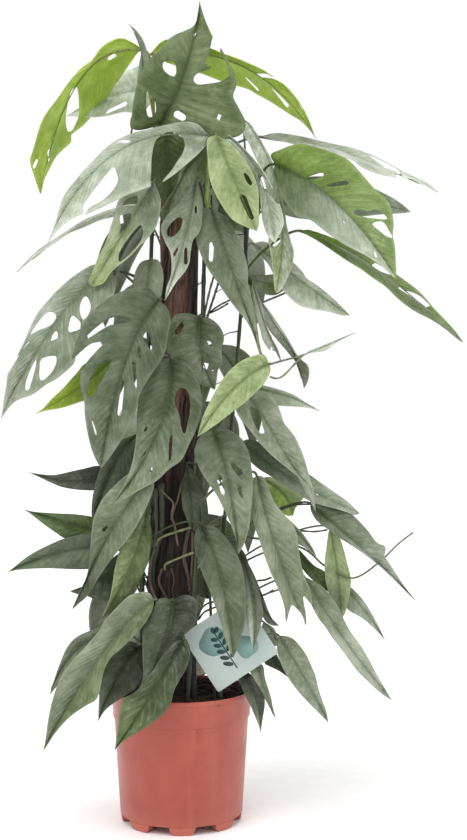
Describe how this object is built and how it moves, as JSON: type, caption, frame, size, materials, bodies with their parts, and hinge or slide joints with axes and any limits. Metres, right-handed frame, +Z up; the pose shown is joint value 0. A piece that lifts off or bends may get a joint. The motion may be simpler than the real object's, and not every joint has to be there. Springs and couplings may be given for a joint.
{
  "type": "potted climbing aroid plant",
  "caption": "Tall climbing aroid in a round nursery pot: silvery holed leaves on stems round a bark pole, with soil and a square tag on a stake.",
  "frame": {"origin": "centre of the pot's underside, on the plane it stands on", "axes": "+Z up along the pot's axis, -Y towards the plant's front"},
  "size_m": [0.546, 0.2754, 0.9738],
  "materials": {
    "pot_plastic": "satin moulded terracotta-coloured plastic",
    "potting_soil": "rough dark bark and peat mix",
    "pole_bark": "rough fibrous red-brown bark",
    "tag_card": "satin pale mint card",
    "silver_foliage": "soft silvery grey-green leaf",
    "fresh_foliage": "soft bright green leaf"
  },
  "bodies": {
    "root": {"pot": "pot_plastic", "soil": "potting_soil", "pole": "pole_bark", "tag": "tag_card", "leafy_stem_left": "silver_foliage", "leafy_stem_right": "silver_foliage", "leafy_stem_outer": "fresh_foliage", "leafy_stem_low_left": "silver_foliage", "leafy_stem_low_right": "silver_foliage", "leafy_stem_skirt_left": "silver_foliage", "leafy_stem_skirt_right": "silver_foliage", "leafy_stem_back_left": "silver_foliage", "leafy_stem_back_right": "silver_foliage", "leafy_stem_back": "silver_foliage"}
  },
  "joints": []
}
